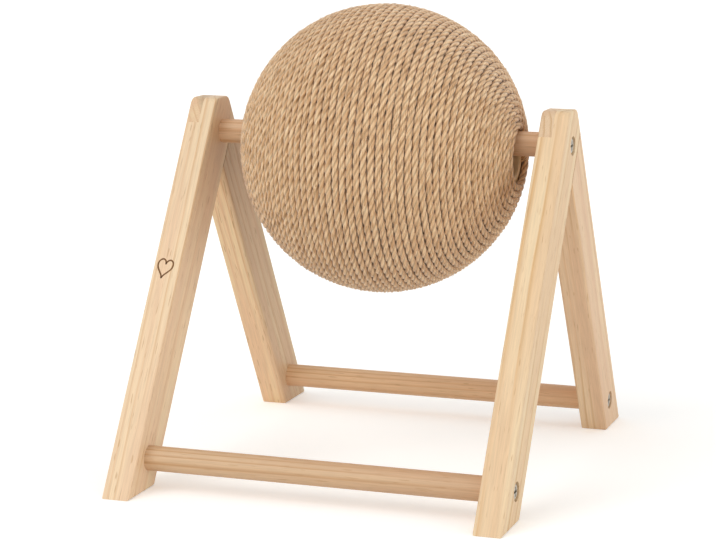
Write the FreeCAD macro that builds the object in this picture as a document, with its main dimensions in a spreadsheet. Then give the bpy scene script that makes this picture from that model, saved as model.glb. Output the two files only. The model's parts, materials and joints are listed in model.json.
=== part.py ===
"""Cat scratching ball: a cord-wound ball that hangs on a wooden axle between two A-frames.

Millimetres. X runs along the axle from the left frame to the right one, Y from front to back, Z up.
The origin is on the floor, midway between the four feet.
"""
import FreeCAD
import Part
import Sketcher
import math
import os

Vector = FreeCAD.Vector

# Driving sizes: name, number in millimetres, what it measures
SIZES = (
    ("frame_depth", 256.0, "foot tip to foot tip, front to back"),
    ("frame_height", 188.5, "floor to the flat top of an A-frame"),
    ("side_gap", 13.0, "ball to an A-frame when the ball is in the middle"),
    ("top_flat", 17.0, "flat top of an A-frame before its corners are rounded"),
    ("top_corner_radius", 6.0, "rounding of the two top corners of an A-frame"),
    ("bar_thickness", 14.5, "leg section along the axle"),
    ("bar_depth", 27.5, "leg section square to its length, front to back"),
    ("bar_edge_radius", 1.0, "easing of a leg's long edges"),
    ("dowel_diameter", 12.7, "axle and rails"),
    ("dowel_chamfer", 0.6, "broken edge at a dowel's ends"),
    ("rail_height", 15.8, "floor to a rail's centre"),
    ("axle_drop", 18.1, "flat top of an A-frame down to the axle's centre"),
    ("socket_depth", 3.0, "how far a dowel's end sits in a leg"),
    ("socket_clearance", 0.05, "dowel to socket wall"),
    ("screw_diameter", 4.0, "shank of a screw"),
    ("screw_length", 35.0, "under the head to the point"),
    ("screw_point", 5.0, "length of the tapered point"),
    ("screw_head_diameter", 9.0, "pan head"),
    ("screw_head_height", 2.8, "pan head"),
    ("screw_head_rounding", 1.4, "rim of the pan head"),
    ("screw_clearance", 0.25, "shank to the hole in a leg"),
    ("cross_length", 5.0, "cross recess, tip to tip"),
    ("cross_width", 1.2, "width of a slot of the cross recess"),
    ("cross_depth", 1.5, "depth of the cross recess"),
    ("head_clearance", 0.5, "pan head to the side of its counterbore"),
    ("counterbore_depth", 3.4, "recess for a screw head"),
    ("pilot_clearance", 0.05, "shank to the pilot hole in a dowel"),
    ("pilot_extra", 1.0, "pilot hole past the screw's point"),
    ("ball_diameter", 150.5, "over the cord"),
    ("ball_offset", 2.4, "where the ball has come to rest along the axle, from the middle"),
    ("cord_diameter", 3.6, "the wound cord"),
    ("cord_gap", 0.48, "least space between neighbouring turns"),
    ("cord_seat_gap", 0.25, "cord to the core, and cord end to cord end"),
    ("cord_bend_radius", 4.6, "bend that takes the cord's end into the core"),
    ("cord_end_inset", 1.2, "how much nearer the axle the cord's end goes into the core"),
    ("cord_slot_clearance", 0.3, "cord to the sides of its slot in the core"),
    ("core_wall", 2.5, "half shell"),
    ("hub_play", 5.9, "axle to the loose bore round it, when both are in line"),
    ("hang_gap", 0.3, "top of the bore to the top of the axle, where the ball hangs"),
    ("pole_rim", 2.2, "bare ring of the hub between its bore and the first turn of cord"),
    ("hub_wall", 4.5, "boss outside the cord's slot"),
    ("hub_floor", 2.5, "boss behind the cord's slot"),
    ("hub_mouth_radius", 1.0, "rounding of the bore's outer mouth"),
    ("lip_length", 3.0, "tongue that lines up the half shells"),
    ("lip_thickness", 1.1, "tongue that lines up the half shells"),
    ("lip_clearance", 0.1, "tongue to groove"),
    ("rib_thickness", 1.6, "ribs from the hub to the wall"),
    ("rib_span", 0.82, "share of the core's radius at which a rib runs out on the wall, no length"),
    ("rib_count", 6, "ribs in a half shell, no length"),
)

# Worked out from the driving sizes: the side view of an A-frame
SLOPE = "((Sizes.frame_depth - Sizes.top_flat) / 2 / Sizes.frame_height)"
LEG_RUN = f"(Sizes.bar_depth * sqrt(1 + pow({SLOPE}; 2)))"
FOOT_REACH = "(Sizes.frame_depth / 2)"
CROTCH_HEIGHT = f"(({FOOT_REACH} - {LEG_RUN}) / {SLOPE})"
TIP_HEIGHT = f"(({FOOT_REACH} - {LEG_RUN} / 2) / {SLOPE})"
AXLE_HEIGHT = "(Sizes.frame_height - Sizes.axle_drop)"
RAIL_REACH = f"({FOOT_REACH} - {LEG_RUN} / 2 - {SLOPE} * Sizes.rail_height)"
INNER_FACE = "(Sizes.ball_diameter / 2 + Sizes.side_gap)"
SCREW_SEAT = f"({INNER_FACE} + Sizes.bar_thickness - Sizes.counterbore_depth)"
SCREW_IN_BAR = "(Sizes.bar_thickness - Sizes.counterbore_depth - Sizes.socket_depth)"
COUNTERBORE = "(Sizes.screw_head_diameter + 2 * Sizes.head_clearance)"

# Worked out from the driving sizes: the ball
BALL_HEIGHT = f"({AXLE_HEIGHT} - Sizes.hub_play + Sizes.hang_gap)"
CORE_RADIUS = "(Sizes.ball_diameter / 2 - Sizes.cord_diameter - Sizes.cord_seat_gap)"
CORE_INNER = f"({CORE_RADIUS} - Sizes.core_wall)"
PATH_RADIUS = "((Sizes.ball_diameter - Sizes.cord_diameter) / 2)"
BORE_RADIUS = "(Sizes.dowel_diameter / 2 + Sizes.hub_play)"
POLE_RADIUS = f"({BORE_RADIUS} + Sizes.pole_rim)"
FIRST_TURN = f"({POLE_RADIUS} + Sizes.cord_diameter / 2)"
SLOT_HALF = "(Sizes.cord_diameter / 2 + Sizes.cord_slot_clearance)"
HUB_RADIUS = f"({FIRST_TURN} + {SLOT_HALF} + Sizes.hub_wall)"

# Sketcher's numbers for the points of a line or an arc, and for the sketch's origin
START, END, CENTRE = 1, 2, 3
ORIGIN = -1

# Lengths nearer than this count as equal when edges are picked
CLOSE = 1e-4

doc = FreeCAD.newDocument("ScratchingBall")
sheet = doc.addObject("Spreadsheet::Sheet", "Sizes")


def fill_sheet():
    """Writes the driving sizes, one to a row, with the name as alias."""
    for row, (name, number, note) in enumerate(SIZES, start=1):
        sheet.set(f"A{row}", name)
        sheet.set(f"B{row}", str(number))
        sheet.setAlias(f"B{row}", name)
        sheet.set(f"C{row}", note)
    doc.recompute()


def value(expression):
    """The number that an expression over the sheet has now."""
    return float(sheet.evalExpression(expression))


def chord_reach(radius, height):
    """Expression for how far along the axis a sphere's surface stands at a height off the axis."""
    return f"sqrt(pow({radius}; 2) - pow({height}; 2))"


# Drawing and cutting


def new_body(name):
    """An empty sub-part whose label names its file."""
    body = doc.addObject("PartDesign::Body", name)
    body.Label = name
    return body


def origin_part(body, role):
    """A body's own origin plane or axis, by its role."""
    return next(part for part in body.Origin.OriginFeatures if part.Role == role)


def sketch_on(body, name, plane, offset=None):
    """A sketch on one of the body's origin planes, moved along the plane's normal by an expression."""
    sketch = body.newObject("Sketcher::SketchObject", name)
    sketch.AttachmentSupport = [(origin_part(body, plane), "")]
    sketch.MapMode = "FlatFace"
    if offset:
        sketch.setExpression("AttachmentOffset.Base.z", offset)
    return sketch


def bind_point(sketch, geometry, point, name, x=None, y=None):
    """Fixes a point of a sketch by expressions for its coordinates."""
    for kind, axis, expression in (("DistanceX", "x", x), ("DistanceY", "y", y)):
        if expression is None:
            continue
        number = value(expression)
        index = sketch.addConstraint(Sketcher.Constraint(kind, ORIGIN, START, geometry, point, number))
        sketch.renameConstraint(index, f"{name}_{axis}")
        sketch.setExpression(f"Constraints.{name}_{axis}", expression)


def draw_outline(sketch, corners, arcs=()):
    """Closed outline through corners given as pairs of expressions.

    A side whose number is in arcs is round about the sketch's origin, and its far end is fixed
    along the axis only, because the radius already follows from its near end.
    """
    places = [Vector(value(x), value(y), 0) for x, y in corners]
    count = len(corners)
    sides = []
    for number, start in enumerate(places):
        end = places[(number + 1) % count]
        if number not in arcs:
            sides.append((sketch.addGeometry(Part.LineSegment(start, end)), START, END))
            continue
        angles = [math.atan2(place.y, place.x) for place in (start, end)]
        circle = Part.Circle(Vector(0, 0, 0), Vector(0, 0, 1), start.Length)
        geometry = sketch.addGeometry(Part.ArcOfCircle(circle, min(angles), max(angles)))
        sketch.addConstraint(Sketcher.Constraint("Coincident", geometry, CENTRE, ORIGIN, START))
        forward = angles[0] < angles[1]
        sides.append((geometry, START if forward else END, END if forward else START))
    for number, (geometry, _, tail) in enumerate(sides):
        following, next_head, _ = sides[(number + 1) % count]
        sketch.addConstraint(Sketcher.Constraint("Coincident", geometry, tail, following, next_head))
    for number, (x, y) in enumerate(corners):
        geometry, head, _ = sides[number]
        ends_arc = (number - 1) % count in arcs
        bind_point(sketch, geometry, head, f"corner{number}", x, None if ends_arc else y)


def draw_circle(sketch, x, y, diameter):
    """A circle whose centre and diameter are expressions."""
    centre = Vector(value(x), value(y), 0)
    circle = Part.Circle(centre, Vector(0, 0, 1), value(diameter) / 2)
    geometry = sketch.addGeometry(circle)
    bind_point(sketch, geometry, CENTRE, "centre", x, y)
    index = sketch.addConstraint(Sketcher.Constraint("Diameter", geometry, value(diameter)))
    sketch.renameConstraint(index, "diameter")
    sketch.setExpression("Constraints.diameter", diameter)


def pad(body, sketch, length):
    """Raises a sketch along its normal."""
    feature = body.newObject("PartDesign::Pad", f"{sketch.Name}Pad")
    feature.Profile = sketch
    feature.setExpression("Length", length)
    doc.recompute()
    return feature


def revolve(body, sketch):
    """Turns a sketch once round its horizontal axis."""
    feature = body.newObject("PartDesign::Revolution", f"{sketch.Name}Revolution")
    feature.Profile = sketch
    feature.ReferenceAxis = (sketch, ["H_Axis"])
    feature.Angle = 360
    doc.recompute()
    return feature


def pocket(body, sketch, depth=None, along_normal=False):
    """Cuts a sketch into the body by a depth, or right through, and makes sure that it cut."""
    before = body.Shape.Volume
    feature = body.newObject("PartDesign::Pocket", f"{sketch.Name}Pocket")
    feature.Profile = sketch
    feature.Reversed = along_normal
    if depth:
        feature.setExpression("Length", depth)
    else:
        feature.Type = "ThroughAll"
    doc.recompute()
    if body.Shape.Volume >= before:
        raise RuntimeError(f"{sketch.Name} cuts nothing")
    return feature


def round_edges(body, name, radius, wanted):
    """Rounds the edges of the body so far that wanted, a test of an edge, picks out."""
    base = body.Tip
    names = [f"Edge{number}" for number, edge in enumerate(base.Shape.Edges, start=1) if wanted(edge)]
    feature = body.newObject("PartDesign::Fillet", name)
    feature.Base = (base, names)
    feature.setExpression("Radius", radius)
    doc.recompute()
    return feature


def place(part, x="0", y="0", z="0", half_turn_about=None):
    """Puts a sub-part at a point given by expressions, after half a turn about an axis if one is given."""
    if half_turn_about:
        part.Placement = FreeCAD.Placement(Vector(0, 0, 0), FreeCAD.Rotation(half_turn_about, 180))
    for axis, expression in (("x", x), ("y", y), ("z", z)):
        part.setExpression(f"Placement.Base.{axis}", expression)


def same(first, second):
    """Whether two lengths are equal for picking edges."""
    return abs(first - second) < CLOSE


# The stand


def make_leg(name, inner_face_far, half_turn):
    """One leg of an A-frame, foot at the front and top at the middle before it is placed.

    The bar lies between X = 0 and X = bar_thickness. Its near half is cut away at the top, where the
    other leg of the frame crosses it. The face towards the ball is the far one or the near one.
    """
    body = new_body(name)
    outline = sketch_on(body, f"{name}_outline", "YZ_Plane")
    draw_outline(outline, (
        (f"-{FOOT_REACH}", "0"),
        (f"{LEG_RUN} - {FOOT_REACH}", "0"),
        (f"{LEG_RUN} / 2", TIP_HEIGHT),
        ("Sizes.top_flat / 2", "Sizes.frame_height"),
        ("-Sizes.top_flat / 2", "Sizes.frame_height"),
    ))
    pad(body, outline, "Sizes.bar_thickness")

    top, half_flat = value("Sizes.frame_height"), value("Sizes.top_flat / 2")

    def is_top_corner(edge):
        box = edge.BoundBox
        return same(box.ZMin, top) and same(abs(box.Center.y), half_flat)

    round_edges(body, f"{name}_top", "Sizes.top_corner_radius", is_top_corner)

    thickness = value("Sizes.bar_thickness")

    def is_face_edge(edge):
        box = edge.BoundBox
        return same(box.XLength, 0) and (same(box.XMin, 0) or same(box.XMin, thickness))

    round_edges(body, f"{name}_edges", "Sizes.bar_edge_radius", is_face_edge)

    lap = sketch_on(body, f"{name}_lap", "YZ_Plane")
    draw_outline(lap, (
        (LEG_RUN, f"{CROTCH_HEIGHT} - {LEG_RUN} / {SLOPE}"),
        (LEG_RUN, f"{CROTCH_HEIGHT} + {LEG_RUN} / {SLOPE}"),
        (f"-{LEG_RUN}", f"{CROTCH_HEIGHT} + {LEG_RUN} / {SLOPE}"),
    ))
    pocket(body, lap, "Sizes.bar_thickness / 2", along_normal=True)

    socket = "(Sizes.dowel_diameter + 2 * Sizes.socket_clearance)"
    screw_hole = "(Sizes.screw_diameter + 2 * Sizes.screw_clearance)"
    rail, axle = (f"-{RAIL_REACH}", "Sizes.rail_height"), ("0", AXLE_HEIGHT)
    bore(body, "rail_socket", inner_face_far, rail, socket, "Sizes.socket_depth")
    bore(body, "rail_counterbore", not inner_face_far, rail, COUNTERBORE, "Sizes.counterbore_depth")
    bore(body, "rail_screw_hole", True, rail, screw_hole)
    if inner_face_far:
        bore(body, "axle_socket", True, axle, socket, "Sizes.socket_depth")
    else:
        bore(body, "axle_counterbore", True, axle, COUNTERBORE, "Sizes.counterbore_depth")
    bore(body, "axle_screw_hole", True, axle, screw_hole)

    face = f"({INNER_FACE} + Sizes.bar_thickness)" if inner_face_far else INNER_FACE
    x = f"-{face}" if inner_face_far != half_turn else face
    place(body, x, half_turn_about=Vector(0, 0, 1) if half_turn else None)
    return body


def bore(body, name, far_face, centre, diameter, depth=None):
    """A round hole into a leg from its far or near face, by a depth or right through."""
    offset = "Sizes.bar_thickness" if far_face else None
    sketch = sketch_on(body, f"{body.Name}_{name}", "YZ_Plane", offset)
    draw_circle(sketch, *centre, diameter)
    pocket(body, sketch, depth, along_normal=not far_face)


def make_dowel(name, y, z):
    """The axle or a rail: a round bar with broken ends and a pilot hole in each."""
    body = new_body(name)
    half = f"({INNER_FACE} + Sizes.socket_depth)"
    radius = "Sizes.dowel_diameter / 2"
    pilot = "Sizes.screw_diameter / 2 + Sizes.pilot_clearance"
    pilot_end = f"({half} - (Sizes.screw_length - {SCREW_IN_BAR}) - Sizes.pilot_extra)"
    section = sketch_on(body, f"{name}_section", "XY_Plane")
    right_end = (
        (f"{half} - Sizes.dowel_chamfer", radius),
        (half, f"{radius} - Sizes.dowel_chamfer"),
        (half, pilot),
        (pilot_end, pilot),
        (pilot_end, "0"),
    )
    left_end = tuple((f"-({x})", y_off) for x, y_off in reversed(right_end))
    draw_outline(section, right_end + left_end)
    revolve(body, section)
    place(body, y=y, z=z)
    return body


def make_screw(name, y, z, on_left):
    """A wood screw: pan head outwards along X, its seat at X = 0 before it is placed."""
    body = new_body(name)
    radius, head = "Sizes.screw_diameter / 2", "Sizes.screw_head_diameter / 2"
    section = sketch_on(body, f"{name}_section", "XY_Plane")
    draw_outline(section, (
        ("-Sizes.screw_length", "0"),
        ("Sizes.screw_point - Sizes.screw_length", radius),
        ("0", radius),
        ("0", head),
        ("Sizes.screw_head_height", head),
        ("Sizes.screw_head_height", "0"),
    ))
    revolve(body, section)
    top = value("Sizes.screw_head_height")

    def is_rim(edge):
        return same(edge.BoundBox.XMin, top)

    round_edges(body, f"{name}_rim", "Sizes.screw_head_rounding", is_rim)
    for direction in ("upright", "level"):
        slot = sketch_on(body, f"{name}_{direction}_slot", "YZ_Plane", "Sizes.screw_head_height")
        long, short = "Sizes.cross_length / 2", "Sizes.cross_width / 2"
        half_y, half_z = (short, long) if direction == "upright" else (long, short)
        draw_outline(slot, tuple((f"{sign_y}{half_y}", f"{sign_z}{half_z}") for sign_y, sign_z in (
            ("-", "-"), ("", "-"), ("", ""), ("-", ""),
        )))
        pocket(body, slot, "Sizes.cross_depth")
    x = f"-{SCREW_SEAT}" if on_left else SCREW_SEAT
    place(body, x, y, z, half_turn_about=Vector(0, 0, 1) if on_left else None)
    return body


# The ball


def make_core_shell(name, has_tongue):
    """Moulded half shell with its pole towards +X before it is placed.

    It has a wall, a hub round the axle with ribs to the wall, and a slot for the cord's end.
    """
    body = new_body(name)
    pole_face = chord_reach(CORE_RADIUS, POLE_RADIUS)
    slot_floor = (f"({chord_reach(PATH_RADIUS, FIRST_TURN)} - Sizes.cord_bend_radius"
                  " - Sizes.cord_diameter - Sizes.cord_seat_gap)")
    hub_face = f"({slot_floor} - Sizes.hub_floor)"
    tongue_radius = f"({CORE_INNER} + Sizes.lip_thickness)"
    groove_radius = f"({tongue_radius} + Sizes.lip_clearance)"
    groove_depth = "(Sizes.lip_length + Sizes.lip_clearance)"
    wall_and_hub = (
        ("0", CORE_RADIUS),
        (pole_face, POLE_RADIUS),
        (pole_face, BORE_RADIUS),
        (hub_face, BORE_RADIUS),
        (hub_face, HUB_RADIUS),
        (chord_reach(CORE_INNER, HUB_RADIUS), HUB_RADIUS),
    )
    tongue = (
        ("0", CORE_INNER),
        ("-Sizes.lip_length", CORE_INNER),
        ("-Sizes.lip_length", tongue_radius),
        ("0", tongue_radius),
    )
    groove = (
        (groove_depth, chord_reach(CORE_INNER, groove_depth)),
        (groove_depth, groove_radius),
        ("0", groove_radius),
    )
    section = sketch_on(body, f"{name}_section", "XY_Plane")
    draw_outline(section, wall_and_hub + (tongue if has_tongue else groove), arcs=(0, 5))
    revolve(body, section)

    mouth, mouth_radius = value(pole_face), value(BORE_RADIUS)

    def is_mouth(edge):
        box = edge.BoundBox
        return same(box.XMin, mouth) and same(box.XMax, mouth) and same(box.YMax, mouth_radius)

    round_edges(body, f"{name}_mouth", "Sizes.hub_mouth_radius", is_mouth)

    middle = f"({CORE_RADIUS} - Sizes.core_wall / 2)"
    rib_foot = f"({HUB_RADIUS} - Sizes.core_wall)"
    rib_end = f"(Sizes.rib_span * {middle})"
    rib = sketch_on(body, f"{name}_rib", "XY_Plane")
    draw_outline(rib, (
        (hub_face, rib_foot),
        (chord_reach(middle, rib_foot), rib_foot),
        (chord_reach(middle, rib_end), rib_end),
    ), arcs=(1,))
    plate = pad(body, rib, "Sizes.rib_thickness")
    plate.SideType = "Symmetric"
    ring = body.newObject("PartDesign::PolarPattern", f"{name}_ribs")
    ring.Originals = [plate]
    ring.Axis = (origin_part(body, "X_Axis"), [""])
    ring.Angle = 360
    ring.setExpression("Occurrences", "Sizes.rib_count")
    body.Tip = ring
    doc.recompute()

    slot = sketch_on(body, f"{name}_slot", "YZ_Plane", slot_floor)
    slot_inner = f"{FIRST_TURN} - Sizes.cord_end_inset - {SLOT_HALF}"
    slot_outer = f"{FIRST_TURN} + {SLOT_HALF}"
    slot_low = f"-Sizes.cord_bend_radius - {SLOT_HALF}"
    draw_outline(slot, (
        (slot_inner, SLOT_HALF),
        (slot_inner, slot_low),
        (slot_outer, slot_low),
        (slot_outer, SLOT_HALF),
    ))
    pocket(body, slot, along_normal=True)
    place_on_ball(body, has_tongue)
    return body


def place_on_ball(part, is_left):
    """Puts a sub-part that was made about the ball's centre in its place, a left one turned round."""
    place(part, "Sizes.ball_offset", "0", BALL_HEIGHT, half_turn_about=Vector(0, 1, 0) if is_left else None)


def spiral(first_polar, polar_per_radian, radius, turn):
    """Point on the cord's centre line and the way it heads there, at an angle about the axle."""
    polar = first_polar + polar_per_radian * turn
    off_axis = radius * math.sin(polar)
    off_axis_rate = radius * math.cos(polar) * polar_per_radian
    cosine, sine = math.cos(turn), math.sin(turn)
    point = Vector(radius * math.cos(polar), off_axis * cosine, off_axis * sine)
    heading = Vector(
        -off_axis * polar_per_radian,
        off_axis_rate * cosine - off_axis * sine,
        off_axis_rate * sine + off_axis * cosine,
    )
    return point, heading.normalize()


def tangent_arc(start, heading, end):
    """The arc that leaves start along heading and arrives at end."""
    chord = end - start
    inward = (chord - heading * chord.dot(heading)).normalize()
    radius = chord.Length ** 2 / (2 * chord.dot(inward))
    centre = start + inward * radius
    middle = centre + ((start + end) / 2 - centre).normalize() * radius
    return Part.Arc(start, middle, end).toShape()


def biarc(start, start_heading, end, end_heading):
    """Two arcs that join two points and keep both headings."""
    chord = end - start
    spread = 2 * (1 - start_heading.dot(end_heading))
    along = chord.dot(start_heading + end_heading)
    arm = (math.sqrt(along ** 2 + spread * chord.dot(chord)) - along) / spread
    joint = (start + start_heading * arm + end - end_heading * arm) / 2
    return [tangent_arc(start, start_heading, joint), tangent_arc(end, end_heading * -1, joint)]


def cord_path():
    """Centre line of the cord on the right half of the ball, from its end at the pole to the equator."""
    cord, bend = value("Sizes.cord_diameter"), value("Sizes.cord_bend_radius")
    radius = value(PATH_RADIUS)
    first_polar = math.asin(value(FIRST_TURN) / radius)
    span = math.pi / 2 - first_polar
    loops = int(radius * span / (cord + value("Sizes.cord_gap")))
    quarters = 4 * loops
    quarter = math.pi / 2
    stations = [spiral(first_polar, span / (quarters * quarter), radius, number * quarter)
                for number in range(quarters + 1)]

    # At the pole the end bends into the core, a little nearer the axle, and runs straight along the axle
    first, heading = stations[0]
    outward = Vector(1, 0, 0)
    foot = first - Vector(bend, value("Sizes.cord_end_inset"), bend)
    edges = [Part.LineSegment(foot - outward * cord, foot).toShape()]
    edges += biarc(foot, outward, first, heading)

    # At the equator the end runs straight up to where the other half's cord begins
    last, last_heading = stations[-1]
    last_end = last - last_heading * (value("Sizes.cord_seat_gap") / 2)
    stations[-1] = (last_end - last_heading * cord, last_heading)
    for before, after in zip(stations, stations[1:]):
        edges += biarc(*before, *after)
    edges.append(Part.LineSegment(stations[-1][0], last_end).toShape())
    return Part.Wire(edges), loops


def least_gap(wire, diameter):
    """Least space between stretches of the cord that aren't neighbours along it, measured on points."""
    step = diameter / 4
    points = wire.discretize(Distance=step)
    skip = int(3 * diameter / step)
    cell = 2 * diameter
    cells = {}
    for number, point in enumerate(points):
        key = (int(point.x // cell), int(point.y // cell), int(point.z // cell))
        cells.setdefault(key, []).append(number)
    nearest = cell
    around = [(i, j, k) for i in (-1, 0, 1) for j in (-1, 0, 1) for k in (-1, 0, 1)]
    for (column, row, layer), members in cells.items():
        others = [n for i, j, k in around for n in cells.get((column + i, row + j, layer + k), ())]
        for number in members:
            for other in others:
                if other - number > skip:
                    nearest = min(nearest, points[number].distanceToPoint(points[other]))
    return nearest - diameter


def make_winding(name, wire, is_left):
    """The cord on one half of the ball: one tube along the centre line."""
    diameter = value("Sizes.cord_diameter")
    start = wire.Edges[0].Vertexes[0].Point
    section = Part.Wire([Part.Circle(start, Vector(1, 0, 0), diameter / 2).toShape()])
    shell = Part.BRepOffsetAPI.MakePipeShell(wire)
    shell.add(section)
    shell.build()
    shell.makeSolid()
    winding = doc.addObject("Part::Feature", name)
    winding.Label = name
    winding.Shape = shell.shape()
    expected = math.pi * diameter ** 2 / 4 * wire.Length
    if abs(winding.Shape.Volume - expected) > expected / 1000:
        raise RuntimeError(f"{name} isn't its section times its length")
    place_on_ball(winding, is_left)
    return winding


# The whole object


def make_stand():
    """Legs, rails, axle and screws."""
    parts = []
    for name, inner_face_far, half_turn in (
        ("front_left_leg", True, False),
        ("back_left_leg", False, True),
        ("front_right_leg", False, False),
        ("back_right_leg", True, True),
    ):
        parts.append(make_leg(name, inner_face_far, half_turn))
    joints = {
        "axle": ("0", AXLE_HEIGHT),
        "front_rail": (f"-{RAIL_REACH}", "Sizes.rail_height"),
        "back_rail": (RAIL_REACH, "Sizes.rail_height"),
    }
    for name, (y, z) in joints.items():
        parts.append(make_dowel(name, y, z))
        for side in ("left", "right"):
            words = name.split("_")
            words.insert(len(words) - 1, side)
            parts.append(make_screw("_".join(words + ["screw"]), y, z, side == "left"))
    return parts


def make_ball():
    """Core shells and the cord wound over them."""
    parts = [make_core_shell("left_core_shell", True), make_core_shell("right_core_shell", False)]
    wire, loops = cord_path()
    gap = least_gap(wire, value("Sizes.cord_diameter"))
    print(f"cord: {loops} loops on each half, {wire.Length / 1000:.3f} m, least gap to itself {gap:.3f} mm")
    for side in ("left", "right"):
        parts.append(make_winding(f"{side}_cord_winding", wire, side == "left"))
    return parts


def write_parts(parts):
    """Checks everything in the document, then writes one file for each sub-part."""
    for thing in doc.Objects:
        if {"Invalid", "Error"} & set(thing.State):
            raise RuntimeError(f"{thing.Name} failed: {thing.State}")
    for part in parts:
        if part.Shape.isNull() or not part.Shape.isValid() or len(part.Shape.Solids) != 1:
            raise RuntimeError(f"{part.Label} isn't one valid solid")
    os.makedirs("parts", exist_ok=True)
    for part in parts:
        part.Shape.exportStep(f"parts/{part.Label}.step")
        print(f"{part.Label}: {part.Shape.Volume / 1000:.2f} cm3")


def main():
    """Builds the stand and the ball and writes their parts."""
    fill_sheet()
    parts = make_stand() + make_ball()
    doc.recompute()
    write_parts(parts)
    print(f"axle height {value(AXLE_HEIGHT):.3f}, ball centre height {value(BALL_HEIGHT):.3f}, "
          f"rail reach {value(RAIL_REACH):.3f}, crotch height {value(CROTCH_HEIGHT):.3f}")


main()
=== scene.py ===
"""Looks of the cat scratching ball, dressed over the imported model. Metres, Z up, front towards -Y."""
from __future__ import annotations

import json
import logging
import math
from dataclasses import dataclass, field
from enum import Enum, IntEnum
from functools import cached_property
from typing import Any, Mapping, Sequence

import bpy
import numpy as np
from mathutils import Euler, Matrix, Vector

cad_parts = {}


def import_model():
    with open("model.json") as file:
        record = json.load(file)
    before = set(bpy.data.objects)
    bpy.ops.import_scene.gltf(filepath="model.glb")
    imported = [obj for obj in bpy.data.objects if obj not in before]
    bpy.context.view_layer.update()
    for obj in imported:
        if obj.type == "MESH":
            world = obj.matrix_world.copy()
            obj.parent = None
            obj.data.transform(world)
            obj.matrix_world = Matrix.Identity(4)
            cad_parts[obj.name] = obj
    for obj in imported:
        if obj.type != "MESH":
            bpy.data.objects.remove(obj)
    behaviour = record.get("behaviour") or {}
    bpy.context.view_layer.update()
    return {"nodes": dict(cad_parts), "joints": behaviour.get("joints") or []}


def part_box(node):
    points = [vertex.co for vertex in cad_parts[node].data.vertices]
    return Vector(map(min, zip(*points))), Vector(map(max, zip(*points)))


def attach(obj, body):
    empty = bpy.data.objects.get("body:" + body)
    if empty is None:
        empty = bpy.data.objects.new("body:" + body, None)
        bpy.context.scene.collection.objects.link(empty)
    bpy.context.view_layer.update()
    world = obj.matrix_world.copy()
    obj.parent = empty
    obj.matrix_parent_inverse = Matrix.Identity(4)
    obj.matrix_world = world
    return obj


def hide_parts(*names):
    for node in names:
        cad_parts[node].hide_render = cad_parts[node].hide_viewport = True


log = logging.getLogger("scratching_ball")

MM = 0.001
Colour = tuple[float, float, float, float]


class Body(Enum):
    """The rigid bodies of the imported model."""

    STAND = "stand"
    BALL = "ball"


class Slot(Enum):
    """Two of the record's material slots; nothing in this script uses them."""

    PINE_BAR = "pine_bar"
    SISAL = "sisal_cord"


class Side(Enum):
    """The two halves of the ball, by the sign of X on which the pole lies."""

    LEFT = -1
    RIGHT = 1


class Lean(Enum):
    """Which way a leg leans from its foot to its top, by the sign of Y."""

    BACKWARD = 1
    FORWARD = -1


class CordLayer(Enum):
    """The cord's layers of coordinates: one turns with its strands, one runs straight as its fibres do."""

    STRAND = "strand"
    FIBRE = "fibre"


class MixInput(IntEnum):
    """Places of a Mix node's inputs, which share their names."""

    FACTOR = 0
    FIRST_NUMBER = 2
    SECOND_NUMBER = 3
    FIRST_COLOUR = 6
    SECOND_COLOUR = 7


class MixResult(IntEnum):
    """Places of a Mix node's outputs, which share one name."""

    NUMBER = 0
    COLOUR = 2


def linear(hex_colour: str) -> Colour:
    """Turns an sRGB colour into linear light.

    Args:
        hex_colour: Six hexadecimal digits after a hash sign.

    Returns:
        Red, green and blue in linear light, and an alpha of 1.
    """
    levels = [int(hex_colour[start:start + 2], 16) / 255 for start in (1, 3, 5)]
    red, green, blue = (
        level / 12.92 if level <= 0.04045 else ((level + 0.055) / 1.055) ** 2.4 for level in levels
    )
    return red, green, blue, 1.0


def add_node(
    tree: bpy.types.NodeTree,
    kind: str,
    settings: Mapping[str, Any] | None = None,
    inputs: Mapping[str | int, Any] | None = None,
) -> bpy.types.Node:
    """Adds a shader node with its settings and links.

    Args:
        tree: The node tree that gets the node.
        kind: Blender's name for the kind of node.
        settings: Properties of the node. The key stops gives a colour ramp's places and colours.
        inputs: Values for input sockets, or the output sockets that are linked to them.

    Returns:
        The new node.
    """
    node = tree.nodes.new(kind)
    for name, setting in (settings or {}).items():
        if name == "stops":
            ramp = node.color_ramp.elements
            while len(ramp) < len(setting):
                ramp.new(1.0)
            for element, (position, colour) in zip(ramp, setting):
                element.position = position
                element.color = colour
        else:
            setattr(node, name, setting)
    for socket, source in (inputs or {}).items():
        if isinstance(source, bpy.types.NodeSocket):
            tree.links.new(source, node.inputs[socket])
        else:
            node.inputs[socket].default_value = source
    return node


def new_tree(name: str) -> tuple[bpy.types.Material, bpy.types.NodeTree]:
    """Makes an empty material.

    Args:
        name: The material's name.

    Returns:
        The material and its node tree, which holds no nodes yet.
    """
    material = bpy.data.materials.new(name)
    material.use_nodes = True
    material.node_tree.nodes.clear()
    return material, material.node_tree


def close_tree(tree: bpy.types.NodeTree, shader: bpy.types.NodeSocket) -> None:
    """Links a shader to the material's output."""
    add_node(tree, "ShaderNodeOutputMaterial", inputs={"Surface": shader})


def seen(tree: bpy.types.NodeTree) -> bpy.types.NodeSocket:
    """One where the camera or a reflection looks at a surface, and nought where it lights another.

    Args:
        tree: The node tree that asks.

    Returns:
        The socket with that number.
    """
    path = add_node(tree, "ShaderNodeLightPath")
    either = add_node(tree, "ShaderNodeMath", {"operation": "MAXIMUM"}, {
        0: path.outputs["Is Camera Ray"], 1: path.outputs["Is Glossy Ray"]}).outputs["Value"]
    return add_node(tree, "ShaderNodeMath", {"operation": "MAXIMUM"}, {
        0: either, 1: path.outputs["Is Transmission Ray"]}).outputs["Value"]


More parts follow.
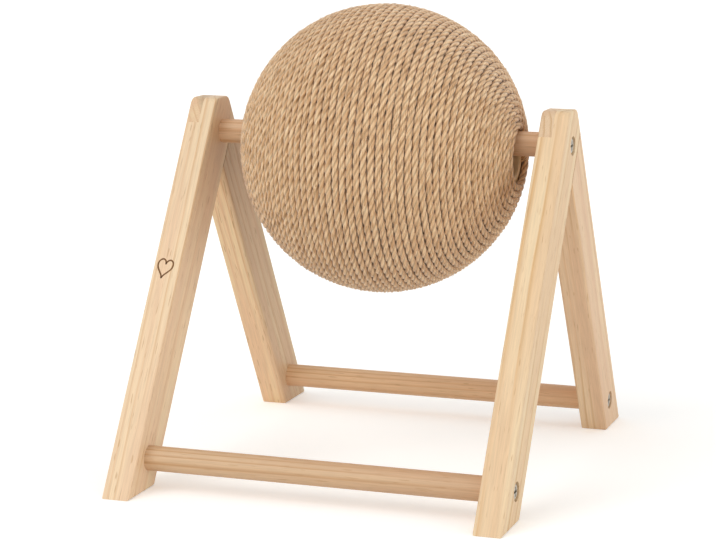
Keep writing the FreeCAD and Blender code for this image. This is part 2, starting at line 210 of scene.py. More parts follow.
@dataclass(frozen=True)
class Streaks:
    """Noise drawn out one way: its sizes across and along, in metres, and its octaves of finer noise."""

    across: float
    along: float
    detail: float


@dataclass(frozen=True)
class PineFinish:
    """Pine, planed and sanded, with no varnish.

    Growth rings show as soft honey-coloured lines that run along the piece, come and go, and close into
    arcs on its ends, where the cut fibres soak up light and look a little browner. Between the rings the
    wood is pale cream with fine fibres and a few short brown resin flecks, and it has only a dull sheen. A
    board can be browner on the side nearest the tree's middle, which stands partly for heartwood and partly
    for painted shade, as on a leg's side that faces the ball.

    Each range is the level of its noise at which a mark starts and the level at which it is full.
    """

    name: str
    grain: tuple[float, float, float]
    pith: tuple[float, float, float]
    early: str
    late: str
    blush: str
    ring: float
    late_start: float = 0.55
    late_peak: float = 0.90
    drift: Streaks = Streaks(18 * MM, 160 * MM, 2.0)
    wander: float = 5.0 * MM
    bands: Streaks = Streaks(9 * MM, 130 * MM, 1.0)
    band_range: tuple[float, float] = (0.35, 0.65)
    resin: str = "#B98A58"
    flecks: Streaks = Streaks(0.7 * MM, 8 * MM, 0.0)
    fleck_range: tuple[float, float] = (0.72, 0.80)
    fleck_strength: float = 0.5
    fibres: Streaks = Streaks(0.5 * MM, 14 * MM, 3.0)
    fibre_range: tuple[float, float] = (0.3, 0.7)
    fibre_shade: tuple[float, float] = (0.90, 1.05)
    fibre_bump: float = 0.25
    fibre_relief: float = 0.08 * MM
    heartwood_and_shade_reach: float = 0.0
    heartwood_and_shade_edge: float = 1.5 * MM
    heartwood_and_painted_shade: float = 0.76
    end_facing: tuple[float, float] = (0.45, 0.75)
    end_shade: float = 0.90
    roughness: float = 0.55
    ior: float = 1.53

    def build(self) -> bpy.types.Material:
        """Builds the material, with its rings about an axis along the grain.

        Returns:
            The material.
        """
        material, tree = new_tree(self.name)
        turn = Vector((0, 0, 1)).rotation_difference(Vector(self.grain)).to_euler()
        surface = add_node(tree, "ShaderNodeTexCoord").outputs
        board = add_node(tree, "ShaderNodeMapping", {"vector_type": "TEXTURE"}, {
            "Vector": surface["Object"], "Location": self.pith, "Rotation": turn}).outputs["Vector"]

        def pattern(streaks: Streaks) -> bpy.types.NodeSocket:
            """Noise drawn out along the grain, which is the board's own Z.

            Args:
                streaks: The noise's sizes.

            Returns:
                The noise's value.
            """
            scale = Vector((1 / streaks.across, 1 / streaks.across, 1 / streaks.along))
            stretched = add_node(tree, "ShaderNodeVectorMath", {"operation": "MULTIPLY"},
                                 {0: board, 1: scale}).outputs["Vector"]
            return add_node(tree, "ShaderNodeTexNoise", inputs={
                "Vector": stretched, "Scale": 1.0, "Detail": streaks.detail}).outputs["Fac"]

        # The rings wander by a few millimetres over a hand's length of board
        drift = pattern(self.drift)
        level = add_node(tree, "ShaderNodeVectorMath", {"operation": "MULTIPLY"},
                         {0: board, 1: Vector((1, 1, 0))}).outputs["Vector"]
        distance = add_node(tree, "ShaderNodeVectorMath", {"operation": "LENGTH"},
                            {0: level}).outputs["Value"]
        wandered = add_node(tree, "ShaderNodeMath", {"operation": "MULTIPLY_ADD"},
                            {0: drift, 1: self.wander, 2: distance}).outputs["Value"]
        count = add_node(tree, "ShaderNodeMath", {"operation": "DIVIDE"},
                         {0: wandered, 1: self.ring}).outputs["Value"]
        share = add_node(tree, "ShaderNodeMath", {"operation": "FRACT"}, {0: count}).outputs["Value"]
        rings = add_node(tree, "ShaderNodeValToRGB", {"stops": (
            (0.0, linear(self.early)),
            (self.late_start, linear(self.early)),
            (self.late_peak, linear(self.late)),
            (1.0, linear(self.early)),
        )}, {"Fac": share}).outputs["Color"]

        # Broad bands of pinker wood in which the rings fade
        band = add_node(tree, "ShaderNodeMapRange", inputs={
            "Value": pattern(self.bands), "From Min": self.band_range[0],
            "From Max": self.band_range[1]}).outputs["Result"]
        tinted = add_node(tree, "ShaderNodeMix", {"data_type": "RGBA"}, {
            MixInput.FACTOR: band, MixInput.FIRST_COLOUR: rings,
            MixInput.SECOND_COLOUR: linear(self.blush)}).outputs[MixResult.COLOUR]

        # Resin flecks and fibres, both drawn at three times their width so that they show
        fleck = add_node(tree, "ShaderNodeMapRange", inputs={
            "Value": pattern(self.flecks), "From Min": self.fleck_range[0],
            "From Max": self.fleck_range[1], "To Max": self.fleck_strength}).outputs["Result"]
        flecked = add_node(tree, "ShaderNodeMix", {"data_type": "RGBA"}, {
            MixInput.FACTOR: fleck, MixInput.FIRST_COLOUR: tinted,
            MixInput.SECOND_COLOUR: linear(self.resin)}).outputs[MixResult.COLOUR]
        fibre = pattern(self.fibres)
        shade = add_node(tree, "ShaderNodeMapRange", inputs={
            "Value": fibre, "From Min": self.fibre_range[0], "From Max": self.fibre_range[1],
            "To Min": self.fibre_shade[0], "To Max": self.fibre_shade[1]}).outputs["Result"]

        # Browner round the tree's middle: partly heartwood, partly painted shade where a leg's side faces the
        # ball
        browned_and_painted_shade = add_node(tree, "ShaderNodeMapRange", inputs={
            "Value": wandered, "From Min": self.heartwood_and_shade_reach - self.heartwood_and_shade_edge,
            "From Max": self.heartwood_and_shade_reach + self.heartwood_and_shade_edge,
            "To Min": self.heartwood_and_painted_shade, "To Max": 1.0}).outputs["Result"]
        toned = add_node(tree, "ShaderNodeMath", {"operation": "MULTIPLY"},
                         {0: shade, 1: browned_and_painted_shade}).outputs["Value"]
        combed = add_node(tree, "ShaderNodeVectorMath", {"operation": "SCALE"},
                          {0: flecked, "Scale": toned}).outputs["Vector"]

        # A cut end is told from a side by how nearly it faces along the grain
        facing = add_node(tree, "ShaderNodeVectorMath", {"operation": "DOT_PRODUCT"},
                          {0: surface["Normal"], 1: self.grain}).outputs["Value"]
        either_end = add_node(tree, "ShaderNodeMath", {"operation": "ABSOLUTE"}, {0: facing}).outputs["Value"]
        soaked = add_node(tree, "ShaderNodeMapRange", inputs={
            "Value": either_end, "From Min": self.end_facing[0], "From Max": self.end_facing[1],
            "To Min": 1.0, "To Max": self.end_shade}).outputs["Result"]
        colour = add_node(tree, "ShaderNodeVectorMath", {"operation": "SCALE"},
                          {0: combed, "Scale": soaked}).outputs["Vector"]
        bump = add_node(tree, "ShaderNodeBump", inputs={
            "Height": fibre, "Strength": self.fibre_bump,
            "Distance": self.fibre_relief}).outputs["Normal"]
        shader = add_node(tree, "ShaderNodeBsdfPrincipled", inputs={
            "Base Color": colour, "Roughness": self.roughness, "IOR": self.ior, "Normal": bump})
        close_tree(tree, shader.outputs["BSDF"])
        return material


@dataclass(frozen=True)
class SisalCordFinish:
    """Sisal, combed, spun and laid into cord, undyed.

    Straw-coloured fibres run along the cord, some of them pale and some brown, and painted shade darkens
    it into the valleys between the strands. It is dry and matt, with a light rim from the fuzz of fibre ends.
    """

    strand_width: float
    name: str = "sisal_laid_cord"
    dark: str = "#A87B4C"
    middle: str = "#DFB383"
    pale: str = "#F9DAB0"
    tone_stops: tuple[float, float, float] = (0.34, 0.48, 0.62)
    fibres: Streaks = Streaks(0.5 * MM, 12 * MM, 3.0)
    fibre_bump: float = 0.7
    fibre_relief: float = 0.2 * MM
    locks: Streaks = Streaks(2.2 * MM, 11 * MM, 1.0)
    lock_share: float = 0.35
    ridge_share: float = 0.2
    painted_valley_shade: float = 0.64
    roughness: float = 0.85
    sheen: float = 0.55
    sheen_roughness: float = 0.5
    ior: float = 1.5

    def build(self) -> bpy.types.Material:
        """Builds the material on the cord's own coordinates: along the cord and round it, in metres.

        Returns:
            The material.
        """
        material, tree = new_tree(self.name)

        def pattern(layer: CordLayer, streaks: Streaks) -> bpy.types.NodeSocket:
            """Noise drawn out along the cord.

            Args:
                layer: The coordinates that it follows.
                streaks: The noise's sizes.

            Returns:
                The noise's value.
            """
            place = add_node(tree, "ShaderNodeUVMap", {"uv_map": layer.value}).outputs["UV"]
            scale = Vector((1 / streaks.along, 1 / streaks.across, 1))
            stretched = add_node(tree, "ShaderNodeVectorMath", {"operation": "MULTIPLY"},
                                 {0: place, 1: scale}).outputs["Vector"]
            return add_node(tree, "ShaderNodeTexNoise", inputs={
                "Vector": stretched, "Scale": 1.0, "Detail": streaks.detail}).outputs["Fac"]

        # Fibres are drawn at twice their width so that they show
        fibre = pattern(CordLayer.FIBRE, self.fibres)
        lock = pattern(CordLayer.STRAND, self.locks)
        mixed = add_node(tree, "ShaderNodeMix", {"data_type": "FLOAT"}, {
            MixInput.FACTOR: self.lock_share, MixInput.FIRST_NUMBER: fibre,
            MixInput.SECOND_NUMBER: lock}).outputs[MixResult.NUMBER]
        tones = [linear(tone) for tone in (self.dark, self.middle, self.pale)]
        straw = add_node(tree, "ShaderNodeValToRGB", {"stops": list(zip(self.tone_stops, tones))},
                         {"Fac": mixed}).outputs["Color"]

        # A strand's ridge lies at a whole number of strand widths, the valley half way between. The colour is
        # darkened from ridge to valley as painted shade
        place = add_node(tree, "ShaderNodeUVMap", {"uv_map": CordLayer.STRAND.value}).outputs["UV"]
        around = add_node(tree, "ShaderNodeSeparateXYZ", inputs={"Vector": place}).outputs["Y"]
        ridge = add_node(tree, "ShaderNodeMath", {"operation": "PINGPONG"},
                         {0: around, 1: self.strand_width / 2}).outputs["Value"]
        # Painted shade: the colour darkens from each strand's ridge into the valley beside it
        shade = add_node(tree, "ShaderNodeMapRange", {"interpolation_type": "SMOOTHSTEP"}, {
            "Value": ridge, "From Min": self.ridge_share * self.strand_width,
            "From Max": self.strand_width / 2,
            "To Min": 1.0, "To Max": self.painted_valley_shade}).outputs["Result"]
        colour = add_node(tree, "ShaderNodeVectorMath", {"operation": "SCALE"},
                          {0: straw, "Scale": shade}).outputs["Vector"]
        bump = add_node(tree, "ShaderNodeBump", inputs={
            "Height": fibre, "Strength": self.fibre_bump,
            "Distance": self.fibre_relief}).outputs["Normal"]
        shader = add_node(tree, "ShaderNodeBsdfPrincipled", inputs={
            "Base Color": colour, "Roughness": self.roughness, "IOR": self.ior, "Normal": bump,
            "Sheen Weight": self.sheen, "Sheen Roughness": self.sheen_roughness})
        close_tree(tree, shader.outputs["BSDF"])
        return material


@dataclass(frozen=True)
class LooseFibreFinish:
    """Sisal fibre that has worked loose from the cord.

    Each fibre has one colour of its own, between straw and cream, with a soft gloss along it.
    """

    name: str = "sisal_loose_fibre"
    brown: str = "#B8946A"
    cream: str = "#EBD6B6"
    roughness: float = 0.6
    ior: float = 1.5

    def build(self) -> bpy.types.Material:
        """Builds the material, with a tone for each fibre.

        Returns:
            The material.
        """
        material, tree = new_tree(self.name)
        chance = add_node(tree, "ShaderNodeNewGeometry").outputs["Random Per Island"]
        colour = add_node(tree, "ShaderNodeValToRGB", {"stops": (
            (0.0, linear(self.brown)),
            (1.0, linear(self.cream)),
        )}, {"Fac": chance}).outputs["Color"]
        shader = add_node(tree, "ShaderNodeBsdfPrincipled", inputs={
            "Base Color": colour, "Roughness": self.roughness, "IOR": self.ior})
        close_tree(tree, shader.outputs["BSDF"])
        return material


@dataclass(frozen=True)
class SpeckledFinish:
    """One material with a fine speckle of a second tone, such as plating, moulding or charring leaves."""

    name: str
    main: str
    second: str
    speckle: float
    roughness: float
    metallic: float = 0.0
    ior: float = 1.5
    detail: float = 3.0
    tone_stops: tuple[float, float] = (0.35, 0.70)
    bump: float = 0.3
    relief: float = 0.02 * MM

    def build(self) -> bpy.types.Material:
        """Builds the material on the object's own coordinates.

        Returns:
            The material.
        """
        material, tree = new_tree(self.name)
        place = add_node(tree, "ShaderNodeTexCoord").outputs["Object"]
        noise = add_node(tree, "ShaderNodeTexNoise", inputs={
            "Vector": place, "Scale": 1 / self.speckle, "Detail": self.detail}).outputs["Fac"]
        tones = [linear(tone) for tone in (self.main, self.second)]
        colour = add_node(tree, "ShaderNodeValToRGB", {"stops": list(zip(self.tone_stops, tones))},
                          {"Fac": noise}).outputs["Color"]
        bump = add_node(tree, "ShaderNodeBump", inputs={
            "Height": noise, "Strength": self.bump, "Distance": self.relief}).outputs["Normal"]
        shader = add_node(tree, "ShaderNodeBsdfPrincipled", inputs={
            "Base Color": colour, "Roughness": self.roughness, "Metallic": self.metallic, "IOR": self.ior,
            "Normal": bump})
        close_tree(tree, shader.outputs["BSDF"])
        return material


@dataclass(frozen=True)
class BackdropFinish:
    """Paper, rolled out under the object.

    It is matt and nearly white. A glow that only the camera and reflections see makes it white in the
    picture, with the object's shadow on it.
    """

    name: str = "paper_backdrop"
    colour: str = "#FAFAF8"
    glow: float = 0.25

    def build(self) -> bpy.types.Material:
        """Builds the material from matt paper and the glow.

        Returns:
            The material.
        """
        material, tree = new_tree(self.name)
        strength = add_node(tree, "ShaderNodeMath", {"operation": "MULTIPLY"},
                            {0: seen(tree), 1: self.glow}).outputs["Value"]
        glow = add_node(tree, "ShaderNodeEmission", inputs={"Strength": strength}).outputs["Emission"]
        paper = add_node(tree, "ShaderNodeBsdfDiffuse", inputs={
            "Color": linear(self.colour)}).outputs["BSDF"]
        both = add_node(tree, "ShaderNodeAddShader", inputs={0: paper, 1: glow}).outputs["Shader"]
        close_tree(tree, both)
        return material


# Steel, zinc plated: grey with a faint warm bloom, and a blurred reflection of what is round it
ZINC_STEEL = SpeckledFinish("zinc_plated_steel", "#C9C4BA", "#AFA99D", 1.5 * MM, 0.42, metallic=1.0)
# Polypropylene, moulded: a dull tan with a faint cloudiness in the half shells
MOULDED_CORE = SpeckledFinish("polypropylene_moulded", "#E8CFA8", "#DDC298", 6 * MM, 0.6, ior=1.49)
# Pine, charred by a hot wire: brown, and darker where the wire rested
CHARRED_PINE = SpeckledFinish("pine_charred", "#8A6239", "#664425", 1.2 * MM, 0.8, ior=1.53)


def dress(node: bpy.types.Object, material: bpy.types.Material) -> None:
    """Gives a piece one material in place of those it has."""
    node.data.materials.clear()
    node.data.materials.append(material)


def mesh_piece(
    name: str,
    points: np.ndarray,
    faces: Sequence[Sequence[int]],
    material: bpy.types.Material,
) -> bpy.types.Object:
    """Makes a smooth mesh piece in the part's own frame.

    Args:
        name: The piece's name.
        points: One row of coordinates for each vertex.
        faces: The vertices of each face, counter-clockwise seen from outside.
        material: Its material.

    Returns:
        The piece.
    """
    mesh = bpy.data.meshes.new(name)
    mesh.from_pydata(points.tolist(), [], [list(face) for face in faces])
    mesh.polygons.foreach_set("use_smooth", np.ones(len(mesh.polygons), dtype=bool))
    mesh.materials.append(material)
    piece = bpy.data.objects.new(name, mesh)
    bpy.context.scene.collection.objects.link(piece)
    log.info("%s: %d vertices, %d faces", name, len(mesh.vertices), len(mesh.polygons))
    return piece


def tube_faces(rings: int, columns: int, first: int = 0) -> list[tuple[int, ...]]:
    """Faces of a closed tube whose rings follow each other.

    Args:
        rings: Number of rings.
        columns: Vertices in each ring.
        first: Number of the first vertex.

    Returns:
        The side faces ring by ring, then the two end faces.
    """
    faces: list[tuple[int, ...]] = []
    for ring in range(rings - 1):
        low = first + ring * columns
        for column in range(columns):
            after = (column + 1) % columns
            faces.append((low + column, low + after, low + columns + after, low + columns + column))
    last = first + (rings - 1) * columns
    faces.append(tuple(range(first + columns - 1, first - 1, -1)))
    faces.append(tuple(range(last, last + columns)))
    return faces


def unit(vectors: np.ndarray) -> np.ndarray:
    """Scales each row to length 1."""
    return vectors / np.linalg.norm(vectors, axis=-1, keepdims=True)


@dataclass(frozen=True)
class Board:
    """One stick of pine and the tree that it was cut from.

    It holds where the tree's middle lay beside the stick, the tones of its wood, the width of its rings,
    and how far from the middle the wood is browner, which is partly heartwood and partly painted shade.
    """

    pith: tuple[float, float]
    early: str
    late: str
    blush: str
    ring: float = 3.4 * MM
    heartwood_and_shade_reach: float = 0.0


@dataclass
class Stand:
    """The two A-frames with their rails, axle and screws, and the heart burnt into one leg."""

    nodes: Mapping[str, bpy.types.Object]
    top_flat: float = 17 * MM
    heart_height: float = 106 * MM
    heart_aside: float = -0.9 * MM
    heart_width: float = 8.4 * MM
    heart_length: float = 10.4 * MM
    heart_tilt: float = math.radians(8)
    burnt_line: float = 0.85 * MM
    burnt_relief: float = 0.05 * MM
    heart_points: int = 96
    dowel_wander: float = 2.0 * MM
    legs: Mapping[str, tuple[Lean, Board]] = field(default_factory=lambda: {
        "front_left_leg": (Lean.BACKWARD, Board((46 * MM, 21 * MM), "#F0D5AF", "#DEB688", "#EAC8A3")),
        # The back left leg is browner on its inner side, which faces the ball: partly the board's own tone,
        # partly painted shade from the ball
        "back_left_leg": (Lean.FORWARD, Board((58 * MM, 30 * MM), "#F5D7AB", "#E3B688", "#EFC79E",
                                               heartwood_and_shade_reach=70 * MM)),
        "front_right_leg": (Lean.BACKWARD, Board((44 * MM, -34 * MM), "#EDD3AB", "#D4A973", "#E6C49B",
                                                   ring=7.0 * MM)),
        "back_right_leg": (Lean.FORWARD, Board((-44 * MM, -26 * MM), "#EACBA5", "#D6AD7F", "#E1BB96")),
    })
    dowels: Mapping[str, Board] = field(default_factory=lambda: {
        "axle": Board((9 * MM, 4 * MM), "#E4BE97", "#D0A071", "#DDB088", ring=2.4 * MM),
        "front_rail": Board((9 * MM, 9 * MM), "#D7B48E", "#C29669", "#CEA681", ring=2.4 * MM),
        "back_rail": Board((9 * MM, 14 * MM), "#E6C096", "#D2A273", "#DFB289", ring=2.4 * MM),
    })

    def slope(self) -> float:
        """How far a leg leans for each metre that it rises, taken from the front left leg."""
        low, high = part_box("front_left_leg")
        return (-low.y - self.top_flat / 2) / (high.z - low.z)

    def build(self) -> None:
        """Dresses the CAD pieces and burns the heart."""
        self.dress_legs()
        self.dress_dowels()
        steel = ZINC_STEEL.build()
        for name, node in self.nodes.items():
            if name.endswith("screw"):
                dress(node, steel)
                log.info("%s: %s", name, steel.name)
        self.burn_heart()

    def dress_legs(self) -> None:
        """Gives each leg pine of its own board, with the grain along it."""
        for name, (lean, board) in self.legs.items():
            low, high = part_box(name)
            grain = Vector((0, lean.value * self.slope(), 1)).normalized()
            pith = (low + high) / 2 + Vector((*board.pith, 0))
            pine = PineFinish(f"pine_sanded_{name}", tuple(grain), tuple(pith),
                              board.early, board.late, board.blush, ring=board.ring,
                              heartwood_and_shade_reach=board.heartwood_and_shade_reach).build()
            dress(self.nodes[name], pine)
            log.info("%s: %s", name, pine.name)

    def dress_dowels(self) -> None:
        """Gives the axle and the rails turned pine, a little browner than the legs."""
        for name, board in self.dowels.items():
            low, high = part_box(name)
            pith = (low + high) / 2 + Vector((0, *board.pith))
            pine = PineFinish(f"pine_turned_{name}", (1, 0, 0), tuple(pith), board.early, board.late,
                              board.blush, ring=board.ring, wander=self.dowel_wander).build()
            dress(self.nodes[name], pine)
            log.info("%s: %s", name, pine.name)

    def burn_heart(self) -> None:
        """Lays a burnt line in the shape of a heart on the front of the front left leg."""
        low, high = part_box("front_left_leg")
        slope = self.slope()
        up = Vector((0, slope, 1)).normalized()
        out = Vector((0, -1, slope)).normalized()
        middle = Vector(((low.x + high.x) / 2 + self.heart_aside, low.y + slope * self.heart_height,
                         self.heart_height))

        # The usual heart curve, scaled from the units of its formula and tilted
        formula_width = 32
        formula_length = 29
        turn = np.linspace(0, 2 * math.pi, self.heart_points, endpoint=False)
        across = 16 * np.sin(turn) ** 3
        along = 13 * np.cos(turn) - 5 * np.cos(2 * turn) - 2 * np.cos(3 * turn) - np.cos(4 * turn)
        upright = np.stack((across / formula_width * self.heart_width,
                            along / formula_length * self.heart_length), axis=1)
        cosine = math.cos(self.heart_tilt)
        sine = math.sin(self.heart_tilt)
        curve = upright @ np.array(((cosine, -sine), (sine, cosine)))
        heading = unit(np.roll(curve, -1, axis=0) - np.roll(curve, 1, axis=0))
        beside = np.stack((heading[:, 1], -heading[:, 0]), axis=1)

        # Four corners of the line's section at each point: outer and inner, sunk and proud
        half = self.burnt_line / 2
        corners = [(half, -self.burnt_relief), (half, self.burnt_relief),
                   (-half, self.burnt_relief), (-half, -self.burnt_relief)]
        points = []
        for place, aside in zip(curve, beside):
            for offset, height in corners:
                x, z = place + aside * offset
                points.append(middle + Vector((x, 0, 0)) + up * z + out * height)
        count = len(corners)
        faces = []
        for ring in range(self.heart_points):
            following = (ring + 1) % self.heart_points
            for corner in range(count):
                after = (corner + 1) % count
                faces.append((ring * count + corner, ring * count + after,
                              following * count + after, following * count + corner))
        piece = mesh_piece("burnt_heart", np.array(points), faces, CHARRED_PINE.build())
        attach(piece, Body.STAND.value)


@dataclass(frozen=True)
class CordFrames:
    """The cord's axes at each point of its route: along it, off the ball and across both."""

    points: np.ndarray
    along: np.ndarray
    off: np.ndarray
    across: np.ndarray


@dataclass(frozen=True)
class LooseFibres:
    """Fine fibres that stand off the cord here and there, each a tapered tube along a parabola.

    A fibre is rooted just inside the cord, at most one swing, in radians, from its outermost line. It runs
    along the cord, either way, and its lift and sway are how far it ends off the cord and to a side, as
    shares of its length.
    """

    count: int = 2600
    radius: float = 0.08 * MM
    taper: float = 0.7
    length: tuple[float, float] = (2.5 * MM, 7 * MM)
    root_share: float = 0.9
    swing: float = 1.1
    lift: tuple[float, float] = (0.05, 0.38)
    sway: float = 0.5
    bow: float = 0.3
    rings: int = 4
    sides: int = 3

    def build(
        self,
        frames: CordFrames,
        first: int,
        cord_radius: float,
        centre: Vector,
        chance: np.random.Generator,
    ) -> None:
        """Sets the fibres on both halves of the ball.

        Args:
            frames: The cord's route and axes on the right half.
            first: The first point of the route that a fibre may stand on.
            cord_radius: Radius of the cord.
            centre: The ball's centre.
            chance: Source of the fibres' places and shapes.
        """
        spot = chance.integers(first, len(frames.points), self.count)
        side = chance.choice([half.value for half in Side], self.count)[:, None]
        swing = chance.uniform(-self.swing, self.swing, self.count)[:, None]
        length = chance.uniform(*self.length, self.count)[:, None]
        lift = chance.uniform(*self.lift, self.count)[:, None]
        sway = chance.uniform(-self.sway, self.sway, self.count)[:, None]
        way = chance.choice((-1, 1), self.count)[:, None]
        across = frames.across[spot]
        root_off = frames.off[spot] * np.cos(swing) + across * np.sin(swing)
        root = frames.points[spot] + root_off * cord_radius * self.root_share
        tangent = unit(frames.along[spot] * way + across * sway)
        bowed = lift * root_off + self.bow * sway * across

        points = []
        for share in np.linspace(0, 1, self.rings):
            middle = root + length * (share * tangent + share ** 2 * bowed)
            thickness = self.radius * (1 - self.taper * share)
            for number in range(self.sides):
                angle = 2 * math.pi * number / self.sides
                edge = math.cos(angle) * root_off + math.sin(angle) * across * way
                points.append(middle + thickness * edge)
        turned = np.concatenate((side, np.ones_like(side), side), axis=1)
        grid = np.stack(points, axis=1) * turned[:, None, :] + np.array(centre)
        faces = [face for number in range(self.count)
                 for face in tube_faces(self.rings, self.sides, number * self.rings * self.sides)]
        piece = mesh_piece("loose_fibres", grid.reshape(-1, 3), faces, LooseFibreFinish().build())
        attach(piece, Body.BALL.value)


@dataclass
class WoundBall:
    """The ball: two half shells, a laid cord wound over them from pole to pole, and loose fibres on it.

    The pull and the length of the cord's bent end are in bend radii. The strand profile goes over one strand
    from its ridge, in shares of the cord's radius, and the spread widens the cord towards the next turn. Each
    wander is how far the cord strays from even, over a wave of its own, and it dies out along the splice.
    """

    nodes: Mapping[str, bpy.types.Object]
    centre: Vector
    loops: int = 28
    loop_points: int = 240
    cord_diameter: float = 3.6 * MM
    pole_radius: float = 12.6 * MM
    bend_radius: float = 4.6 * MM
    bend_pull: float = 1.66
    bend_length: float = 1.8
    bend_points: int = 24
    ring_step: float = 1.1 * MM
    lay: float = 16.2 * MM
    strands: int = 3
    strand_profile: Sequence[float] = (1.0, 0.96, 0.83, 0.66, 0.83, 0.96)
    spread: float = 1.02
    splice: float = 30 * MM
    wave_factors: Sequence[float] = (1.0, 1.7, 2.9)
    twist_wander: float = 0.5
    twist_wave: float = 60 * MM
    thickness_wander: float = 0.08
    thickness_wave: float = 14 * MM
    side_wander: float = 0.20 * MM
    side_wave: float = 40 * MM
    fibres: LooseFibres = LooseFibres()
    seed: int = 7

    @cached_property
    def radius(self) -> float:
        """Radius of the ball over the cord's solid."""
        low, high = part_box("right_cord_winding")
        return (high.y - low.y) / 2

    def build(self) -> None:
        """Dresses the shells, winds the cord and sets the loose fibres."""
        core = MOULDED_CORE.build()
        for name in ("left_core_shell", "right_core_shell"):
            dress(self.nodes[name], core)
            log.info("%s: %s", name, core.name)
        frames = self.frames(self.route())
        sisal = SisalCordFinish(math.pi * self.pitch() / self.strands).build()
        chance = np.random.default_rng(self.seed)
        for side in Side:
            self.wind(side, frames, sisal, chance)
        self.fibres.build(frames, 2 * self.bent_rings(), self.pitch() / 2, self.centre, chance)

    def half_turn(self, side: Side) -> np.ndarray:
        """Factors that carry the right half to a side: the left half is the right one turned about Y."""
        return np.array((side.value, 1, side.value))

    def path_radius(self) -> float:
        """Radius of the ball at the cord's centre line."""
        return self.radius - self.cord_diameter / 2

    def first_polar(self) -> float:
        """Angle at the ball's centre between its axis and the cord's first turn."""
        return math.asin((self.pole_radius + self.cord_diameter / 2) / self.path_radius())

    def pitch(self) -> float:
        """Distance from turn to turn over the ball."""
        return self.path_radius() * (math.pi / 2 - self.first_polar()) / self.loops

    def bent_rings(self) -> int:
        """Number of rings in the cord's bent end."""
        return int(round((self.cord_diameter + self.bend_length * self.bend_radius) / self.ring_step))

    def route(self) -> np.ndarray:
        """Centre line of the cord on the right half, from its end in the core to the equator.

        Returns:
            Points about the ball's centre, one ring step apart.
        """
        turn = np.linspace(0, 2 * math.pi * self.loops, self.loops * self.loop_points + 1)
        polar = np.linspace(self.first_polar(), math.pi / 2, len(turn))
        spiral = self.path_radius() * np.stack(
            (np.cos(polar), np.sin(polar) * np.cos(turn), np.sin(polar) * np.sin(turn)), axis=1)

        # The end comes straight out of the core and bends into the first turn
        outward = np.array((1.0, 0.0, 0.0))
        foot = spiral[0] - np.array((self.bend_radius, 0.0, self.bend_radius))
        pull = self.bend_pull * self.bend_radius
        heading = unit(spiral[1] - spiral[0])
        share = np.linspace(0, 1, self.bend_points)[:-1, None]
        bend = ((2 * share ** 3 - 3 * share ** 2 + 1) * foot
                + (share ** 3 - 2 * share ** 2 + share) * outward * pull
                + (3 * share ** 2 - 2 * share ** 3) * spiral[0]
                + (share ** 3 - share ** 2) * heading * pull)
        line = np.concatenate(((foot - outward * self.cord_diameter)[None], bend, spiral))
        walked = np.concatenate(((0,), np.cumsum(np.linalg.norm(np.diff(line, axis=0), axis=1))))
        steps = np.linspace(0, walked[-1], int(round(walked[-1] / self.ring_step)) + 1)
        return np.stack([np.interp(steps, walked, line[:, axis]) for axis in range(3)], axis=1)

    def frames(self, route: np.ndarray) -> CordFrames:
        """Finds the cord's axes along its route.

        Args:
            route: Points of the centre line.

        Returns:
            The points and the axes at each of them.
        """
        along = unit(np.gradient(route, axis=0))
        off = unit(route)
        off = unit(off - along * np.sum(off * along, axis=1, keepdims=True))

        # In the bent end, where the cord runs off the ball, the axes are carried back from the first turn
        for number in range(self.bent_rings(), -1, -1):
            carried = off[number + 1]
            off[number] = unit(carried - along[number] * np.dot(carried, along[number]))
        return CordFrames(route, along, off, np.cross(along, off))

    def waver(self, count: int, length: float, chance: np.random.Generator) -> np.ndarray:
        """A slow, uneven wave along the cord, nought at the equator, where the two halves meet.

        Args:
            count: Number of rings.
            length: Length of the wave, in metres.
            chance: Source of the phases.

        Returns:
            A number from -1 to 1 for each ring.
        """
        left = np.arange(count - 1, -1, -1) * self.ring_step
        waves = [np.sin(2 * math.pi * left / (length * factor) + chance.uniform(0, 2 * math.pi))
                 for factor in self.wave_factors]
        return np.mean(waves, axis=0) * np.clip(left / self.splice, 0, 1)

    def wind(
        self,
        side: Side,
        frames: CordFrames,
        sisal: bpy.types.Material,
        chance: np.random.Generator,
    ) -> None:
        """Makes the cord on one half: strands laid round each other, with its turns pressed together.

        Args:
            side: The half.
            frames: The cord's route and axes on the right half.
            sisal: The cord's material.
            chance: Source of the cord's unevenness.
        """
        count = len(frames.points)
        profile = len(self.strand_profile)
        columns = self.strands * profile
        twist = 2 * math.pi * self.ring_step / self.lay * (np.arange(count) - (count - 1))
        twist = twist + self.twist_wander * self.waver(count, self.twist_wave, chance)
        thickness = np.stack([1 + self.thickness_wander * self.waver(count, self.thickness_wave, chance)
                              for _ in range(self.strands)], axis=1)
        full = (self.pitch() / 2 * np.repeat(thickness, profile, axis=1)
                * np.tile(self.strand_profile, self.strands))
        angle = twist[:, None] + 2 * math.pi / columns * np.arange(columns)
        aside = self.side_wander * self.waver(count, self.side_wave, chance)
        middle = frames.points + frames.across * aside[:, None]
        points = (middle[:, None, :] + (full * np.cos(angle))[:, :, None] * frames.off[:, None, :]
                  + (full * np.sin(angle) * self.spread)[:, :, None] * frames.across[:, None, :])
        points = points.reshape(-1, 3) * self.half_turn(side) + np.array(self.centre)
        name = f"{side.name.lower()}_cord"
        piece = mesh_piece(name, points, tube_faces(count, columns), sisal)
        self.map_cord(piece.data, CordLayer.STRAND, np.zeros(count), columns)
        self.map_cord(piece.data, CordLayer.FIBRE, twist, columns)
        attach(piece, Body.BALL.value)
        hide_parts(f"{name}_winding")

